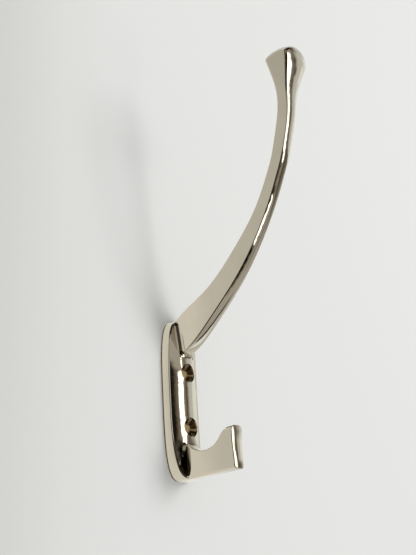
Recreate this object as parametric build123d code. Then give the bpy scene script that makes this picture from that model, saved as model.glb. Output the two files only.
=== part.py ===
from build123d import *
import math
import os

# Wall hook with a long upper arm for a hat and a short lower hook for a coat,
# cast in one piece of brass, plated and polished.
# Frame: the wall is the plane Y = 0, the hook stands out of it towards -Y, +Z is up
# and +X is to the right. The origin is the centre of the plate's back face.
# In the names below, out is the distance in front of the wall and up is the height.

# Backplate: its outline at the wall, and how much smaller it is in front of the crown
plate_height = 70.0
plate_width = 20.2
plate_side_inset = 2.3
plate_end_inset = 0.7
outline_square_x = 3.8
outline_square_z = 3.5
outline_points = 40

# Rounded front of the plate: level along its ridge, then bent back towards the top
rim_out = 3.4
rim_half_width = 9.3
crown_out = 6.9
crown_bend_up = 11.0
crown_bend_radius = 78.0
crown_over_rim = 0.2
rim_round = 1.0
trim_margin = 1.0
loaf_cuts_up = [-36.0, -20.0, -4.0, 11.0, 17.0, 23.0, 29.0, 36.0]

# Screw holes, countersunk from the front
hole_spacing = 23.8
hole_middle_up = -0.9
hole_bore = 4.6
hole_mouth = 8.2
hole_cone_top_out = 5.8
hole_cone_angle = 90.0

# Upper arm, from the wall to its tip. Each section is given by its back edge and its
# front edge as (out, up), by half its thickness and by how far its front face bulges.
arm_sections = [
    ((0.0, 34.9), (0.0, 18.0), 3.2, 0.5),
    ((8.5, 38.2), (13.7, 23.4), 3.2, 0.5),
    ((16.8, 42.2), (23.6, 31.2), 3.2, 0.5),
    ((24.8, 46.7), (31.9, 38.5), 3.1, 0.6),
    ((40.1, 60.2), (46.5, 54.0), 2.7, 0.6),
    ((52.6, 74.7), (58.1, 71.4), 2.6, 0.6),
    ((57.0, 82.1), (62.4, 79.4), 2.6, 0.6),
    ((60.8, 89.4), (66.2, 87.3), 2.7, 0.6),
    ((63.9, 97.0), (69.4, 95.1), 2.8, 0.6),
    ((66.5, 105.7), (72.1, 104.2), 2.9, 0.6),
    ((69.1, 116.0), (74.5, 115.3), 3.4, 0.8),
    ((69.7, 124.5), (75.9, 124.3), 4.7, 1.0),
    ((69.0, 131.5), (78.0, 131.5), 6.5, 1.3),
    ((67.9, 138.0), (79.4, 138.0), 8.1, 1.5),
    ((67.7, 148.0), (79.6, 148.0), 8.3, 1.5),
]
arm_edge_share = 0.18
arm_root_round = 2.4
arm_root_from_up = 17.0
arm_root_to_up = 34.2

# Domed top of the arm's tip: one curve across the hook and one away from the wall
tip_middle_out = 73.5
tip_top_up = 143.6
tip_dome_radius = 9.5
tip_crown_radius = 14.0
tip_tilt = 10.0
tip_edge_round = 1.5
tip_edges_from_up = 131.6

# Lower hook: the line of its cradle as (out, up), its underside and its front pad
hook_thickness = 7.2
hook_draft = 2.5
cradle_line = [
    (5.6, -17.8),
    (10.0, -22.8),
    (16.3, -24.2),
    (23.2, -21.3),
    (26.2, -18.2),
    (28.6, -16.6),
    (31.2, -16.3),
]
underside_up = -34.8
underside_slope = 1.8
underside_round = 1.4
pad_out = 31.0
pad_wave = 0.12
pad_wave_length = 14.0
pad_waist_up = -23.0
pad_bulge = 0.7
pad_top_up = -17.2
pad_corner_round = 2.2
pad_front_round = 0.5
hook_edge_round = 0.4
pad_cuts_up = [-37.0, -33.5, -30.0, -26.5, -23.0, -19.5, -16.0, -12.5]


def superellipse(half_width, half_height, out):
    """Closed plate outline at one distance in front of the wall, from its right side."""
    points = []
    for step in range(outline_points):
        angle = 2 * math.pi * step / outline_points
        cosine = math.cos(angle)
        sine = math.sin(angle)
        x = half_width * math.copysign(abs(cosine) ** (2 / outline_square_x), cosine)
        z = half_height * math.copysign(abs(sine) ** (2 / outline_square_z), sine)
        points.append((x, -out, z))
    return make_face(Spline(*points, periodic=True))


def crown_at(up):
    """Distance of the plate's ridge from the wall, which falls away towards the top."""
    past = max(0.0, up - crown_bend_up)
    fallen = crown_out - past * past / (2 * crown_bend_radius)
    return max(fallen, rim_out + crown_over_rim)


def loaf_section(up):
    """Level cut through the plate's rounded front, wider than the plate."""
    crown = crown_at(up)
    rise = crown - rim_out
    radius = (rim_half_width * rim_half_width + rise * rise) / (2 * rise)
    wide = plate_width / 2 + trim_margin
    edge = crown - radius + math.sqrt(radius * radius - wide * wide)
    front = ThreePointArc((-wide, -edge, up), (0, -crown, up), (wide, -edge, up))
    back = Polyline(
        (wide, -edge, up),
        (wide, trim_margin, up),
        (-wide, trim_margin, up),
        (-wide, -edge, up),
    )
    return make_face(Curve() + [front, back])


def plate():
    half_width = plate_width / 2
    half_height = plate_height / 2
    front_width = half_width - plate_side_inset
    front_height = half_height - plate_end_inset
    sides = loft([
        superellipse(half_width, half_height, 0),
        superellipse(front_width, front_height, crown_out + trim_margin),
    ])
    loaf = loft([loaf_section(up) for up in loaf_cuts_up])
    body = sides & loaf
    rim = [edge for edge in body.edges() if edge.bounding_box().max.Y < -rim_out / 2]
    return fillet(rim, rim_round)


def arm_section(back, front, half, bulge):
    middle_out = (back[0] + front[0]) / 2
    middle_up = (back[1] + front[1]) / 2
    deep = math.dist(back, front) / 2
    across_out = (front[0] - back[0]) / (2 * deep)
    across_up = (front[1] - back[1]) / (2 * deep)
    place = Plane(
        origin=(0, -middle_out, middle_up),
        x_dir=(1, 0, 0),
        z_dir=(0, -across_up, -across_out),
    )
    outline = Polyline((-half, deep), (-half, -deep), (half, -deep), (half, deep))
    bulged = ThreePointArc((half, deep), (0, deep + bulge), (-half, deep))
    face = make_face(Curve() + [outline, bulged])
    return place * fillet(face.vertices(), arm_edge_share * half)


def above_tip():
    """Everything above the tip's dome, as a ring sector to cut away."""
    reach = 14.0
    sweep = 60.0
    middle_up = tip_top_up - tip_dome_radius
    high = tip_top_up + tip_dome_radius
    dome = Pos(0, middle_up) * Circle(tip_dome_radius)
    window = Pos(0, (middle_up + high) / 2) * Rectangle(2 * reach, high - middle_up)
    facing = Plane(origin=(0, -tip_middle_out, 0), x_dir=(1, 0, 0), z_dir=(0, -1, 0))
    region = facing * (window - dome)
    axis = Axis((0, -tip_middle_out, tip_top_up - tip_crown_radius), (1, 0, 0))
    ring = revolve(region, axis, sweep) + revolve(region, axis, -sweep)
    return ring.rotate(axis, tip_tilt)


def arm():
    blade = loft([arm_section(*section) for section in arm_sections]) - above_tip()
    rim = [edge for edge in blade.edges() if edge.bounding_box().min.Z > tip_edges_from_up]
    return fillet(rim, tip_edge_round)


def hook_half_at(up):
    """Half the lower hook's thickness, which is least along its underside."""
    return hook_thickness / 2 + (up - pad_top_up) * math.tan(math.radians(hook_draft))


def pad_section(up):
    """Level cut through the lower hook, with the pad's bulging front."""
    over = 0.05
    half = hook_half_at(up) + over
    turn = 2 * math.pi * (up - pad_waist_up) / pad_wave_length
    front = pad_out - pad_wave * math.cos(turn)
    outline = Polyline((-half, -front), (-half, 0), (half, 0), (half, -front))
    bulged = ThreePointArc((half, -front), (0, -front - pad_bulge), (-half, -front))
    face = make_face(Curve() + [outline, bulged])
    front_corners = face.vertices().sort_by(Axis.Y)[:2]
    return Pos(0, 0, up) * fillet(front_corners, pad_front_round)


def hook_side_shape(reach, low):
    """Outline of the lower hook seen from the side, open past its front and underside."""
    cradle = Spline(*cradle_line, tangents=[(0.25, -1), (1, 0.1)])
    rest = Polyline(
        cradle_line[-1],
        (reach, cradle_line[-1][1] + 0.4),
        (reach, low),
        (0, low),
        (0, cradle_line[0][1]),
        cradle_line[0],
    )
    return make_face(Curve() + [cradle, rest])


def hook_front_shape():
    """Outline of the lower hook seen from the front, narrower towards its bottom."""
    top_half = hook_half_at(pad_top_up)
    low_half = hook_half_at(underside_up)
    outline = make_face(Polyline(
        (top_half, pad_top_up),
        (-top_half, pad_top_up),
        (-low_half, underside_up),
        (low_half, underside_up),
        (top_half, pad_top_up),
    ))
    corners = outline.vertices().sort_by(Axis.Y)
    rounded = fillet(corners[-2:], pad_corner_round)
    return fillet(rounded.vertices().sort_by(Axis.Y)[:2], underside_round)


def lower_hook():
    """Shape seen from the side, cut by the one seen from the front and by the pad."""
    reach = pad_out + 9
    low = underside_up - 3.2
    rise = math.radians(underside_slope)
    side = Plane(origin=(hook_thickness, 0, 0), x_dir=(0, -1, 0), z_dir=(-1, 0, 0))
    blade = extrude(side * hook_side_shape(reach, low), 2 * hook_thickness)
    pad = loft([pad_section(up) for up in pad_cuts_up])
    facing = Plane(origin=(0, 0, 0), x_dir=(1, 0, 0), z_dir=(0, -math.cos(rise), math.sin(rise)))
    body = blade & pad & extrude(facing * hook_front_shape(), reach)
    upper = []
    for edge in body.edges():
        box = edge.bounding_box()
        if box.min.Y < -pad_out / 2 and box.min.Z > cradle_line[2][1] - 1:
            upper.append(edge)
    return fillet(upper, hook_edge_round)


def round_root(body):
    """Round the line where the upper arm leaves the plate's rounded front."""
    seam = []
    for edge in body.edges():
        box = edge.bounding_box()
        narrow = max(abs(box.min.X), abs(box.max.X)) < arm_sections[0][2] + arm_root_round
        on_front = -crown_out - arm_root_round < box.min.Y and box.max.Y < -rim_out
        if narrow and on_front and arm_root_from_up < box.min.Z and box.max.Z < arm_root_to_up:
            seam.append(edge)
    return fillet(seam, arm_root_round)


def screw_hole():
    slope = math.tan(math.radians(hole_cone_angle / 2))
    cone_bottom = hole_cone_top_out - (hole_mouth - hole_bore) / 2 / slope
    outline = Polyline(
        (0, -1),
        (hole_bore / 2, -1),
        (hole_bore / 2, cone_bottom),
        (hole_mouth / 2, hole_cone_top_out),
        (hole_mouth / 2, crown_out + 1),
        (0, crown_out + 1),
        (0, -1),
    )
    profile = Plane(origin=(0, 0, 0), x_dir=(1, 0, 0), z_dir=(0, 0, 1)) * make_face(outline)
    return Rot(180, 0, 0) * revolve(profile, Axis.Y)


def hook():
    body = round_root(plate() + arm()) + lower_hook()
    for side in (-1, 1):
        body -= Pos(0, 0, hole_middle_up + side * hole_spacing / 2) * screw_hole()
    return body


if __name__ == "__main__":
    os.makedirs("parts", exist_ok=True)
    export_step(hook(), "parts/hook.step")
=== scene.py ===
# %% [markdown]
# # Polished nickel hat and coat hook
#
# The real hook is one casting, ground smooth, nickel plated and polished like a mirror.
# Its shape is the CAD solid, so this lesson is about the rest: a metal that is all
# reflections, the room that it reflects, and a camera that sees it as the photograph does.

import bpy
import math
from mathutils import Matrix

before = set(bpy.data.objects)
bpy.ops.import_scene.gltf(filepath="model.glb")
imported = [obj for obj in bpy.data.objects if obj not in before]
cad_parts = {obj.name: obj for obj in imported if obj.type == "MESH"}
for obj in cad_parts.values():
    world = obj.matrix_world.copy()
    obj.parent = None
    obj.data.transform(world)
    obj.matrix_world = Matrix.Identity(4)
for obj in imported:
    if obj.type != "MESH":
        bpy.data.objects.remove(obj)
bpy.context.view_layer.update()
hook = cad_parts["hook"]

# %% [markdown]
# ## Helpers for node trees
#
# A material is a small graph of nodes. Four helpers keep its cells readable: one empties
# the graph of a new material or world, one adds a node, one feeds a socket, and one adds
# a sum. What feeds a socket is the output of another node, or a plain number or colour.

# %% Node helpers


def empty_tree(owner):
    owner.use_nodes = True
    owner.node_tree.nodes.clear()
    return owner.node_tree


def add_node(tree, kind, **settings):
    node = tree.nodes.new(kind)
    for name, value in settings.items():
        setattr(node, name, value)
    return node


def feed(tree, value, socket):
    if isinstance(value, bpy.types.NodeSocket):
        tree.links.new(value, socket)
    else:
        socket.default_value = value


def math_node(tree, operation, *values):
    node = add_node(tree, "ShaderNodeMath", operation=operation)
    for value, socket in zip(values, node.inputs):
        feed(tree, value, socket)
    return node.outputs[0]


print("helpers: empty_tree, add_node, feed, math_node")

# %% [markdown]
# ## Polished nickel
#
# Nickel is a warm, slightly yellow mirror that gives back about half of the light, so the
# metal is fully metallic with a very low roughness. Inside the two countersinks the colour
# is a darker golden brown. They are picked out by the distance from each hole's axis, and
# only in front of the plate's flat back.

# %% The metal
hole_heights = (0.0110, -0.0128)
hole_mouth_radius = 0.0040
holes_from_back = 0.0001

nickel = bpy.data.materials.new("polished_nickel")
nickel_tree = empty_tree(nickel)
metal = add_node(nickel_tree, "ShaderNodeBsdfPrincipled")
metal.inputs["Metallic"].default_value = 1.0
metal_output = add_node(nickel_tree, "ShaderNodeOutputMaterial")
feed(nickel_tree, metal.outputs["BSDF"], metal_output.inputs["Surface"])
metal_place = add_node(nickel_tree, "ShaderNodeTexCoord").outputs["Object"]
metal_axes = add_node(nickel_tree, "ShaderNodeSeparateXYZ")
feed(nickel_tree, metal_place, metal_axes.inputs[0])
metal_x, metal_y, metal_z = metal_axes.outputs


def near_hole(height):
    above = math_node(nickel_tree, "SUBTRACT", metal_z, height)
    above_squared = math_node(nickel_tree, "MULTIPLY", above, above)
    beside_squared = math_node(nickel_tree, "MULTIPLY", metal_x, metal_x)
    squared = math_node(nickel_tree, "ADD", beside_squared, above_squared)
    return math_node(nickel_tree, "LESS_THAN", squared, hole_mouth_radius**2)


near_a_hole = math_node(nickel_tree, "MAXIMUM", *[near_hole(height) for height in hole_heights])
off_the_back = math_node(nickel_tree, "LESS_THAN", metal_y, -holes_from_back)
in_hole = math_node(nickel_tree, "MULTIPLY", near_a_hole, off_the_back)
print("brass shows within", hole_mouth_radius * 1000, "mm of", len(hole_heights), "hole axes")

# %% [markdown]
# The colour varies a few percent over the surface, as plating does. One cloudy noise
# drives a ramp of nickel tones and a ramp of darker brown tones for the countersinks, and
# the mask of the holes chooses between the two.

# %% Colour
cloud_scale = 90.0
cloud_detail = 3.0
nickel_tones = [(0.3, (0.525, 0.480, 0.380, 1)), (0.7, (0.555, 0.508, 0.402, 1))]
countersink_tones = [(0.3, (0.26, 0.18, 0.09, 1)), (0.7, (0.38, 0.28, 0.15, 1))]


def noise(tree, place, scale, detail):
    node = add_node(tree, "ShaderNodeTexNoise")
    node.inputs["Scale"].default_value = scale
    node.inputs["Detail"].default_value = detail
    feed(tree, place, node.inputs["Vector"])
    return node.outputs["Fac"]


def colour_ramp(tree, place, stops):
    node = add_node(tree, "ShaderNodeValToRGB")
    elements = node.color_ramp.elements
    elements.remove(elements[-1])
    elements[0].position, elements[0].color = stops[0]
    for position, colour in stops[1:]:
        elements.new(position).color = colour
    feed(tree, place, node.inputs["Fac"])
    return node.outputs["Color"]


def mix_colours(tree, share, first, second):
    node = add_node(tree, "ShaderNodeMix", data_type="RGBA")
    for name, value in (("Factor", share), ("A", first), ("B", second)):
        feed(tree, value, node.inputs[name])
    return node.outputs["Result"]


cloud = noise(nickel_tree, metal_place, cloud_scale, cloud_detail)
plating = colour_ramp(nickel_tree, cloud, nickel_tones)
countersink_brown = colour_ramp(nickel_tree, cloud, countersink_tones)
metal_colour = mix_colours(nickel_tree, in_hole, plating, countersink_brown)
print("nickel gives back from", nickel_tones[0][1][:3], "to", nickel_tones[1][1][:3])

# %% [markdown]
# The same clouds vary the roughness, from a clear mirror to a faint haze, with more haze
# in the holes. A perfect mirror looks like plastic chrome: hand polishing leaves faint
# waves, which bend the edges of the reflections, so a slow, weak bump goes into the normal.

# %% Haze and waves
clear_polish = 0.03
hazy_polish = 0.08
more_in_holes = 0.15
wave_scale = 160.0
wave_detail = 1.0
wave_depth = 0.00002


def map_range(tree, value, from_range=(0.0, 1.0), to_range=(0.0, 1.0), shape="LINEAR"):
    node = add_node(tree, "ShaderNodeMapRange", interpolation_type=shape)
    feed(tree, value, node.inputs["Value"])
    names = ("From Min", "From Max", "To Min", "To Max")
    for name, limit in zip(names, (*from_range, *to_range)):
        node.inputs[name].default_value = limit
    return node.outputs["Result"]


haze = map_range(nickel_tree, cloud, to_range=(clear_polish, hazy_polish))
hole_haze = math_node(nickel_tree, "MULTIPLY", in_hole, more_in_holes)
roughness = math_node(nickel_tree, "ADD", haze, hole_haze)
feed(nickel_tree, roughness, metal.inputs["Roughness"])

waves = add_node(nickel_tree, "ShaderNodeBump")
waves.inputs["Strength"].default_value = 1.0
waves.inputs["Distance"].default_value = wave_depth
feed(nickel_tree, noise(nickel_tree, metal_place, wave_scale, wave_detail), waves.inputs["Height"])
feed(nickel_tree, waves.outputs["Normal"], metal.inputs["Normal"])
print("roughness from", clear_polish, "to", hazy_polish, "and waves of", wave_depth * 1000, "mm")

# %% [markdown]
# The photograph shows two thin dark lines: where the plate's side meets the wall, and in
# the corner between arm and plate. They are a shadow line and a dark reflection, finer than
# this model's roundings and its shadow can give, so they are painted into the colour as
# painted shade, each between fixed limits.

# %% Painted shade lines
wall_shadow_line = (-0.00055, -0.00001)
corner_beside = (0.0035, 0.0043)
corner_heights = (0.0175, 0.0335)
corner_depths = (-0.0085, -0.0032)
painted_shade_strength = 0.9
# painted shade: the dark colour of the shadow line at the wall and the corner line
painted_shade_colour = (0.03, 0.02, 0.008, 1)


def between(value, limits):
    above = math_node(nickel_tree, "GREATER_THAN", value, limits[0])
    below = math_node(nickel_tree, "LESS_THAN", value, limits[1])
    return math_node(nickel_tree, "MULTIPLY", above, below)


from_middle = math_node(nickel_tree, "ABSOLUTE", metal_x)
corner_shade = between(from_middle, corner_beside)
corner_shade = math_node(nickel_tree, "MULTIPLY", corner_shade, between(metal_z, corner_heights))
corner_shade = math_node(nickel_tree, "MULTIPLY", corner_shade, between(metal_y, corner_depths))
# painted shade: a shadow line along the wall and a dark reflection line in the arm's corner
in_painted_shade = math_node(nickel_tree, "MAXIMUM", between(metal_y, wall_shadow_line), corner_shade)
painted_shade_share = math_node(nickel_tree, "MULTIPLY", in_painted_shade, painted_shade_strength)
colour_with_painted_shade = mix_colours(nickel_tree, painted_shade_share, metal_colour, painted_shade_colour)
feed(nickel_tree, colour_with_painted_shade, metal.inputs["Base Color"])

hook.data.materials.clear()
hook.data.materials.append(nickel)
print("nodes in the metal:", len(nickel_tree.nodes))

# %% [markdown]
# ## The wall
#
# The photograph shows only a pale painted wall behind the hook, so the stage is one wide
# flat sheet, a hair behind the plate's back so that the two don't touch.

# %% Wall sheet
wall_half = 1.2
wall_gap = 0.0004


def add_sheet(name, corners, faces):
    mesh = bpy.data.meshes.new(name)
    mesh.from_pydata(corners, [], faces)
    sheet = bpy.data.objects.new(name, mesh)
    bpy.context.scene.collection.objects.link(sheet)
    return sheet


wall_corners = [
    (side * wall_half, wall_gap, height * wall_half)
    for side, height in ((-1, -1), (1, -1), (1, 1), (-1, 1))
]
wall = add_sheet("wall", wall_corners, [(0, 1, 2, 3)])
print("wall faces", wall.data.polygons[0].normal)

# %% [markdown]
# The paint is matt. Towards the left the wall gets a little greyer, a painted shade, as in the
# photograph.

# %% Wall paint with painted shade
left_shade_span = (-0.10, -0.03)
wall_shade_tones = [
    (0.0, (0.70, 0.70, 0.68, 1)), (0.5, (0.79, 0.792, 0.775, 1)), (1.0, (0.83, 0.835, 0.82, 1)),
]

paint = bpy.data.materials.new("wall_paint")
paint_tree = empty_tree(paint)
wall_axes = add_node(paint_tree, "ShaderNodeSeparateXYZ")
wall_place = add_node(paint_tree, "ShaderNodeTexCoord").outputs["Object"]
feed(paint_tree, wall_place, wall_axes.inputs[0])
wall_x = wall_axes.outputs["X"]
# painted shade: the wall colour gets greyer towards the left
wall_shade_tone = colour_ramp(paint_tree, map_range(paint_tree, wall_x, left_shade_span), wall_shade_tones)
matt = add_node(paint_tree, "ShaderNodeBsdfDiffuse")
feed(paint_tree, wall_shade_tone, matt.inputs["Color"])
print("the paint changes over", round((left_shade_span[1] - left_shade_span[0]) * 1000), "mm")

# %% [markdown]
# In the polished sides the wall is brightest close to the hook. For a mirror ray the wall
# isn't lit but glows, a painted light whose tone comes straight from a ramp over the
# distance to the left or right, so it stays clean.
# Seen from behind, the sheet lets the view through. So it does for the mirror rays of
# the plate's own back, which meet it within a millimetre: the back mirrors the room.

# %% What the metal sees of the wall
short_ray = 0.001
mirror_glow_tones = [
    (0.018, (1.04, 1.04, 1.03, 1)), (0.035, (0.86, 0.86, 0.855, 1)),
    (0.08, (0.79, 0.79, 0.785, 1)), (0.15, (0.69, 0.69, 0.68, 1)),
]


def mix_shaders(tree, share, first, second):
    node = add_node(tree, "ShaderNodeMixShader")
    for value, socket in zip((share, first, second), node.inputs):
        feed(tree, value, socket)
    return node.outputs[0]


to_either_side = math_node(paint_tree, "ABSOLUTE", wall_x)
# painted light: mirror rays see the wall glow, brightest close to the hook
mirror_glow = add_node(paint_tree, "ShaderNodeEmission")
mirror_glow_tone = colour_ramp(paint_tree, to_either_side, mirror_glow_tones)
feed(paint_tree, mirror_glow_tone, mirror_glow.inputs["Color"])
wall_rays = add_node(paint_tree, "ShaderNodeLightPath")
by_mirror = wall_rays.outputs["Is Glossy Ray"]
front = mix_shaders(paint_tree, by_mirror, matt.outputs[0], mirror_glow.outputs[0])

is_short = math_node(paint_tree, "LESS_THAN", wall_rays.outputs["Ray Length"], short_ray)
short_mirror = math_node(paint_tree, "MULTIPLY", is_short, by_mirror)
behind = add_node(paint_tree, "ShaderNodeNewGeometry").outputs["Backfacing"]
see_through = math_node(paint_tree, "MAXIMUM", behind, short_mirror)
clear = add_node(paint_tree, "ShaderNodeBsdfTransparent")
wall_output = add_node(paint_tree, "ShaderNodeOutputMaterial")
wall_surface = mix_shaders(paint_tree, see_through, front, clear.outputs[0])
feed(paint_tree, wall_surface, wall_output.inputs["Surface"])
wall.data.materials.append(paint)
print("nodes in the wall paint:", len(paint_tree.nodes))

# %% [markdown]
# ## The room
#
# A mirror shows the room, so the room is part of the finish. The photograph doesn't show
# it, so it was worked out backwards: how bright the metal is at some points, and which
# way those points look, say which parts of the room are dark and which are pale. It is
# kept to seven tones, each named by how the nickel looks when it mirrors it: mostly dark
# in front and on the left, pale on the right, with a darker strip near eye level.

# %% Tones of the room
room_strength = 1.8
nickel_gives_back = 0.54
full_white = 255
screen_gamma = 2.2


def seen(value, blue_share):
    """The room's colour that makes the nickel look as bright as value, up to full_white."""
    level = (value / full_white) ** screen_gamma / nickel_gives_back / room_strength
    return (level, level * (1 + blue_share) / 2, level * blue_share, 1.0)


black = seen(8, 0.7)
dark = seen(30, 0.7)
brown = seen(75, 0.6)
olive = seen(110, 0.85)
grey = seen(150, 0.92)
light = seen(175, 1.05)
pale = seen(207, 1.08)
print("tones of the room run from", black[0], "to", pale[0])

# %% [markdown]
# The tones lie in seven belts, from the ceiling to the floor at the wall's foot. In a
# belt, an angle of 0 is straight out of the wall and positive is to the right.

# %% Belts of the room
belts = {
    "ceiling": [
        (-180, pale), (-110, pale), (-85, olive), (-60, dark), (20, dark), (36, brown),
        (46, olive), (56, light), (90, light), (120, pale), (180, pale),
    ],
    "overhead": [
        (-180, pale), (-100, light), (-75, olive), (-50, grey), (22, grey), (28, olive),
        (35, olive), (46, light), (62, light), (78, pale), (180, pale),
    ],
    "above_eyes": [
        (-180, pale), (-100, light), (-86, dark), (-72, dark), (-64, light), (-44, light),
        (-38, dark), (-20, dark), (-14, brown), (-4, olive), (20, grey), (26, olive),
        (35, brown), (40, grey), (48, light), (60, light), (64, pale), (180, pale),
    ],
    "eye_level": [
        (-180, pale), (-100, light), (-80, dark), (-55, brown), (-35, black), (8, black),
        (20, grey), (30, olive), (42, brown), (64, olive), (80, grey), (95, light),
        (180, pale),
    ],
    "underfoot": [
        (-180, pale), (-135, grey), (-115, dark), (-62, black), (-45, brown), (9, brown),
        (13, dark), (27, olive), (37, grey), (48, olive), (58, grey), (80, grey),
        (100, pale), (180, pale),
    ],
    "floor": [
        (-180, pale), (-145, grey), (-125, dark), (-110, black), (17, black), (22, brown),
        (29, olive), (37, grey), (69, grey), (72, dark), (77, dark), (79, pale),
        (180, pale),
    ],
    "at_the_wall": [
        (-180, pale), (-100, olive), (-60, brown), (10, brown), (30, olive), (60, grey),
        (80, light), (100, pale), (180, pale),
    ],
}
print("stops in the belts:", {name: len(stops) for name, stops in belts.items()})

# %% [markdown]
# A ray's direction gives its angle to the right of straight out. Half a turn either way
# fills a colour ramp from end to end, one ramp to a belt.

# %% Turn the belts into ramps
room = bpy.data.worlds.new("room")
bpy.context.scene.world = room
room_tree = empty_tree(room)
direction = add_node(room_tree, "ShaderNodeTexCoord").outputs["Generated"]
ray_axes = add_node(room_tree, "ShaderNodeSeparateXYZ")
feed(room_tree, direction, ray_axes.inputs[0])
ray_x, ray_y, ray_z = ray_axes.outputs
ray_out = math_node(room_tree, "MULTIPLY", ray_y, -1.0)
ray_turn = math_node(room_tree, "ARCTAN2", ray_x, ray_out)
turn_share = math_node(room_tree, "DIVIDE", ray_turn, 2 * math.pi)
turn_share = math_node(room_tree, "ADD", turn_share, 0.5)

belt_ramps = {}
for name, stops in belts.items():
    places = [(0.5 + angle / 360, tone) for angle, tone in stops]
    belt_ramps[name] = colour_ramp(room_tree, turn_share, places)
print("belts made:", list(belt_ramps))

# %% [markdown]
# The belts meet at six heights. Each has the belt below it, its height in degrees above
# the horizon, and half the width of its soft step.

# %% Join the belts
meetings = [
    ("overhead", 34.0, 1.5),
    ("above_eyes", 17.3, 1.0),
    ("eye_level", 8.0, 1.5),
    ("underfoot", -13.0, 3.0),
    ("floor", -34.0, 3.0),
    ("at_the_wall", -59.0, 3.0),
]
ray_height = math_node(room_tree, "ARCSINE", ray_z)
view_of_room = belt_ramps["ceiling"]
for name, height, half_step in meetings:
    limits = (math.radians(height + half_step), math.radians(height - half_step))
    below = map_range(room_tree, ray_height, limits, shape="SMOOTHSTEP")
    view_of_room = mix_colours(room_tree, below, view_of_room, belt_ramps[name])
print("belts joined at", [height for name, height, half_step in meetings], "degrees")

# %% [markdown]
# Matt surfaces don't need the room. They get a smooth light, stronger from the right,
# which leaves a soft shade on the wall left of the hook. The camera sees only a pale
# backdrop past the wall's edges.

# %% What each kind of ray sees
soft_light_colour = (1.0, 1.0, 0.99, 1)
soft_light_from_left = 0.38
soft_light_from_right = 0.80
backdrop_colour = (0.84, 0.84, 0.83, 1)


def background(colour, strength=1.0):
    node = add_node(room_tree, "ShaderNodeBackground")
    feed(room_tree, colour, node.inputs["Color"])
    feed(room_tree, strength, node.inputs["Strength"])
    return node.outputs[0]


soft_range = (soft_light_from_left, soft_light_from_right)
soft_strength = map_range(room_tree, ray_x, (-1.0, 1.0), soft_range)
soft_light = background(soft_light_colour, soft_strength)
reflected = background(view_of_room, room_strength)
backdrop = background(backdrop_colour)

room_rays = add_node(room_tree, "ShaderNodeLightPath").outputs
around = mix_shaders(room_tree, room_rays["Is Glossy Ray"], soft_light, reflected)
whole_room = mix_shaders(room_tree, room_rays["Is Camera Ray"], around, backdrop)
room_output = add_node(room_tree, "ShaderNodeOutputWorld")
feed(room_tree, whole_room, room_output.inputs["Surface"])
print("shiny surfaces see the room, matt ones a soft light, the camera a pale backdrop")

# %% [markdown]
# ## The window
#
# One large bright window stands in front and to the right. It draws the long white
# streaks in the metal. It is a glowing sheet and not a lamp, because its outline is no
# plain rectangle: its corners were set so that the streaks run and end as they do in the
# photograph. A second, small pane lower down draws the streak in the lower arm. Each
# corner is an angle to the right and a height, in degrees. The camera doesn't see the
# panes, but the metal does.

# %% Window sheet
window_distance = 3.0
panes = [
    [
        (-1, 15.5), (10, 16.5), (14, 20), (20, 23), (19, 12), (24, 6),
        (24, -8), (15, -8), (13, 4), (1, 10),
    ],
    [(14, -16), (25, -16), (21, -33), (12, -33)],
]


def window_corner(angle, height):
    right = math.tan(math.radians(angle))
    up = math.tan(math.radians(height)) / math.cos(math.radians(angle))
    return (window_distance * right, -window_distance, window_distance * up)


window_corners = []
window_faces = []
for pane in panes:
    first = len(window_corners)
    window_faces.append(tuple(range(first, first + len(pane))))
    window_corners.extend(window_corner(*corner) for corner in pane)
window = add_sheet("window", window_corners, window_faces)
window.visible_camera = False
print("panes of", [round(face.area, 3) for face in window.data.polygons], "square metres")

# %% [markdown]
# The panes glow evenly, bright enough to stay white after the nickel has taken its share.

# %% Window glow
window_strength = 3.0
window_colour = (1.0, 1.0, 0.99, 1)

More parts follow.
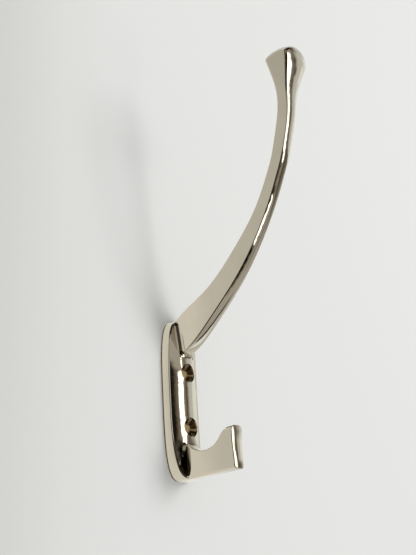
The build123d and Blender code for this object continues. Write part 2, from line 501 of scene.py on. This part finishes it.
glow = bpy.data.materials.new("window_glow")
glow_tree = empty_tree(glow)
glowing = add_node(glow_tree, "ShaderNodeEmission")
glowing.inputs["Color"].default_value = window_colour
glowing.inputs["Strength"].default_value = window_strength
glow_output = add_node(glow_tree, "ShaderNodeOutputMaterial")
feed(glow_tree, glowing.outputs[0], glow_output.inputs["Surface"])
window.data.materials.append(glow)
print("in the nickel a pane has a brightness of", window_strength * nickel_gives_back)

# %% [markdown]
# The shadow on the wall is soft and falls down to the left, so the matt wall gets its
# light from a big square lamp up on the right. The metal doesn't mirror that lamp.

# %% Soft lamp
lamp_distance = 1.5
lamp_right = 22.0
lamp_up = 13.0
lamp_size = 0.6
lamp_power = 6.0

lamp_data = bpy.data.lights.new("soft_lamp", "AREA")
lamp_data.size = lamp_size
lamp_data.energy = lamp_power
lamp = bpy.data.objects.new("soft_lamp", lamp_data)
lamp_turn = Matrix.Rotation(math.radians(lamp_right), 4, "Z")
lamp_tilt = Matrix.Rotation(math.radians(90 - lamp_up), 4, "X")
lamp.matrix_world = lamp_turn @ lamp_tilt @ Matrix.Translation((0, 0, lamp_distance))
lamp.visible_glossy = False
bpy.context.scene.collection.objects.link(lamp)
print("lamp stands at", [round(value, 3) for value in lamp.matrix_world.translation])

# %% [markdown]
# ## The camera
#
# It looks up from the lower left, turned slightly on its own axis. Its place and its
# three directions come from fitting the plate's outline and holes to the photograph. The
# fit hardly tells one lens from another, so a usual one was picked first.

# %% Camera
camera_place = (-0.2690, -0.2454, -0.0859)
camera_right = (0.6569, -0.7516, -0.0601)
camera_up = (-0.2384, -0.2827, 0.9292)
camera_back = (-0.7153, -0.5960, -0.3649)
sensor_width = 36.0
focal_length = 55.14
nearest_view = 0.01

lens = bpy.data.cameras.new("camera")
lens.sensor_width = sensor_width
lens.lens = focal_length
lens.clip_start = nearest_view
camera = bpy.data.objects.new("camera", lens)
camera_turn = Matrix((camera_right, camera_up, camera_back)).transposed().to_4x4()
camera.matrix_world = Matrix.Translation(camera_place) @ camera_turn
bpy.context.scene.collection.objects.link(camera)
bpy.context.scene.camera = camera
bpy.context.scene.view_settings.view_transform = "Standard"
print("camera looks along", [round(-value, 3) for value in camera_back])
